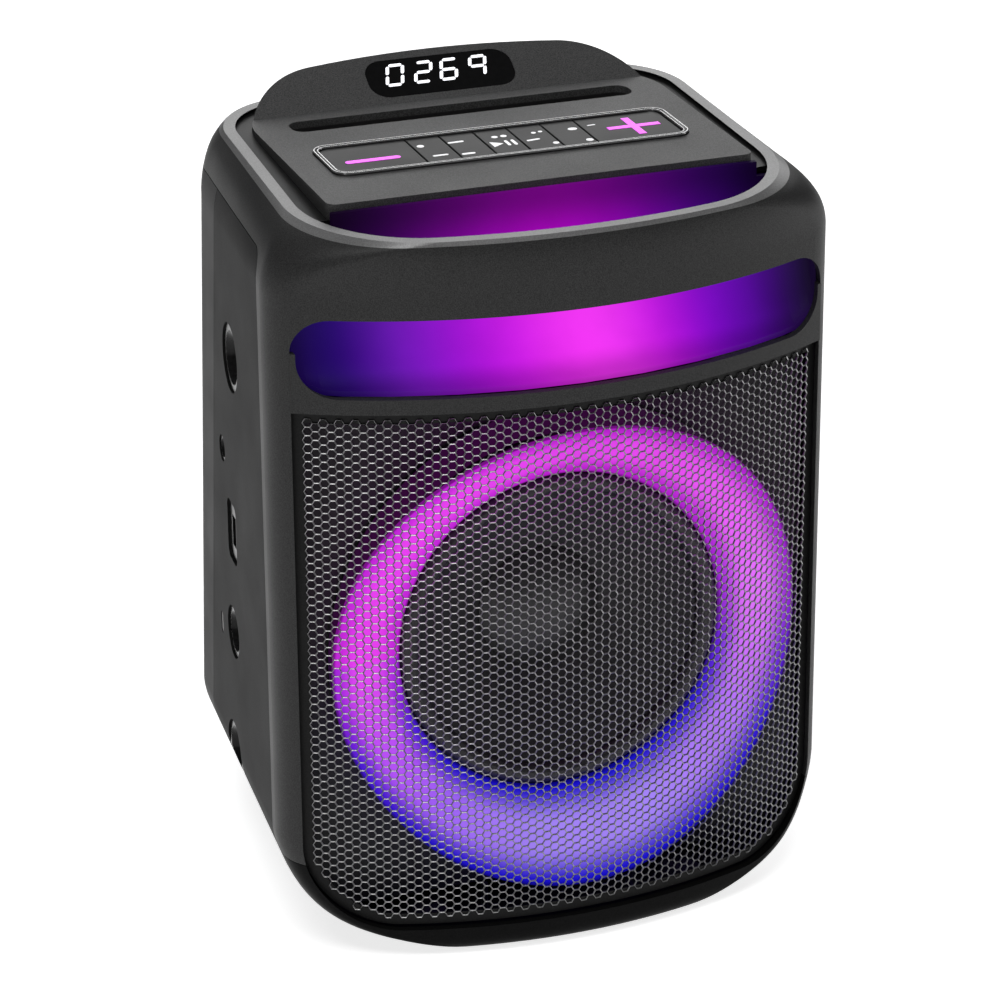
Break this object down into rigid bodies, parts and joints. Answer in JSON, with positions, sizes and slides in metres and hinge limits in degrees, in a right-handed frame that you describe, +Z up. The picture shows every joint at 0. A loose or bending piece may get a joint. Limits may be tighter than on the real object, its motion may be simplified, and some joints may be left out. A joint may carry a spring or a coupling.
{
  "type": "portable party speaker",
  "caption": "Upright portable party speaker with a bowed grille front, a light ring round its woofer, a lit carry handle, top keys, a tablet slot and side sockets.",
  "frame": {"origin": "on the floor, under the middle of the bounding box", "axes": "+Z up, the grille faces -Y, the socket side is -X"},
  "size_m": [0.235, 0.2247, 0.3281],
  "materials": {
    "socket_black": "smooth",
    "baffle_board": "black painted fibreboard",
    "screw_steel": "blackened",
    "base_gloss": "half gloss",
    "battery_wrap": "shrink wrap",
    "inner_black": "moulded",
    "lens_grey": "frosted",
    "skirt_black": "fine moulded grain",
    "circuit_board": "solder mask",
    "display_black": "polished",
    "cap_black": "coated",
    "shell_grey": "speckled grain",
    "grille_steel": "perforated sheet",
    "key_dark": "satin",
    "switch_black": "moulded",
    "bezel_silver": "polished chamfer",
    "ring_glow": "frosted light guide",
    "scoop_glow": "satin",
    "rear_gloss": "polished",
    "port_black": "smooth",
    "trim_grey": "satin",
    "led_board": "white solder mask",
    "foot_rubber": "matt",
    "panel_dark": "fine grain",
    "spider_cloth": "impregnated weave",
    "surround_rubber": "smooth",
    "deck_grey": "speckled grain",
    "coil_copper": "wound wire",
    "basket_steel": "powder coat",
    "cone_paper": "pressed",
    "gasket_rubber": "foam",
    "magnet_ferrite": "sintered",
    "terminal_board": "phenolic sheet",
    "plate_steel": "zinc plated"
  },
  "bodies": {
    "cabinet": {"aux_jack": "socket_black", "baffle": "baffle_board", "base_screws": "screw_steel", "base_tray": "base_gloss", "battery_pack": "battery_wrap", "battery_tray": "inner_black", "charge_light": "lens_grey", "dc_socket": "socket_black", "deck_skirt": "skirt_black", "display_module": "circuit_board", "display_window": "display_black", "front_shell": "shell_grey", "grille": "grille_steel", "guitar_jack": "socket_black", "handle_inner_cover": "inner_black", "jack_board": "circuit_board", "key_board": "circuit_board", "key_switches": "switch_black", "keypad_bezel": "bezel_silver", "light_ring": "ring_glow", "light_scoop": "scoop_glow", "lip_strip": "shell_grey", "main_board": "circuit_board", "mic_jack": "socket_black", "rear_screws": "screw_steel", "rear_shell": "rear_gloss", "reflex_port": "port_black", "rim_trim": "trim_grey", "ring_led_board": "led_board", "rubber_feet": "foot_rubber", "scoop_led_strip": "led_board", "side_panel_left": "panel_dark", "side_panel_right": "panel_dark", "slot_liner": "inner_black", "spider": "spider_cloth", "spider_ring": "inner_black", "surround": "surround_rubber", "top_deck": "deck_grey", "usb_socket": "socket_black", "woofer_basket": "basket_steel", "woofer_gasket": "gasket_rubber", "woofer_magnet": "magnet_ferrite", "woofer_screws": "screw_steel", "woofer_terminals": "terminal_board", "woofer_top_plate": "plate_steel", "woofer_yoke": "plate_steel"},
    "cone": {"woofer_cone": "cone_paper", "dust_cap": "cap_black", "voice_coil": "coil_copper"},
    "key_minus_body": {"key_minus": "key_dark"},
    "key_power_body": {"key_power": "key_dark"},
    "key_light_body": {"key_light": "key_dark"},
    "key_play_body": {"key_play": "key_dark"},
    "key_mode_body": {"key_mode": "key_dark"},
    "key_link_body": {"key_link": "key_dark"},
    "key_plus_body": {"key_plus": "key_dark"}
  },
  "joints": [
    {"name": "cone_excursion", "type": "slide", "parent": "cabinet", "child": "cone", "axis": [0, 1, 0], "range_m": [-0.004, 0.004], "stiffness_N_per_m": 1500, "deforming": ["surround", "spider"]},
    {"name": "key_minus_press", "type": "slide", "parent": "cabinet", "child": "key_minus_body", "axis": [0, 0, -1], "range_m": [0, 0.0008], "stiffness_N_per_m": 400},
    {"name": "key_power_press", "type": "slide", "parent": "cabinet", "child": "key_power_body", "axis": [0, 0, -1], "range_m": [0, 0.0008], "stiffness_N_per_m": 400},
    {"name": "key_light_press", "type": "slide", "parent": "cabinet", "child": "key_light_body", "axis": [0, 0, -1], "range_m": [0, 0.0008], "stiffness_N_per_m": 400},
    {"name": "key_play_press", "type": "slide", "parent": "cabinet", "child": "key_play_body", "axis": [0, 0, -1], "range_m": [0, 0.0008], "stiffness_N_per_m": 400},
    {"name": "key_mode_press", "type": "slide", "parent": "cabinet", "child": "key_mode_body", "axis": [0, 0, -1], "range_m": [0, 0.0008], "stiffness_N_per_m": 400},
    {"name": "key_link_press", "type": "slide", "parent": "cabinet", "child": "key_link_body", "axis": [0, 0, -1], "range_m": [0, 0.0008], "stiffness_N_per_m": 400},
    {"name": "key_plus_press", "type": "slide", "parent": "cabinet", "child": "key_plus_body", "axis": [0, 0, -1], "range_m": [0, 0.0008], "stiffness_N_per_m": 400}
  ]
}
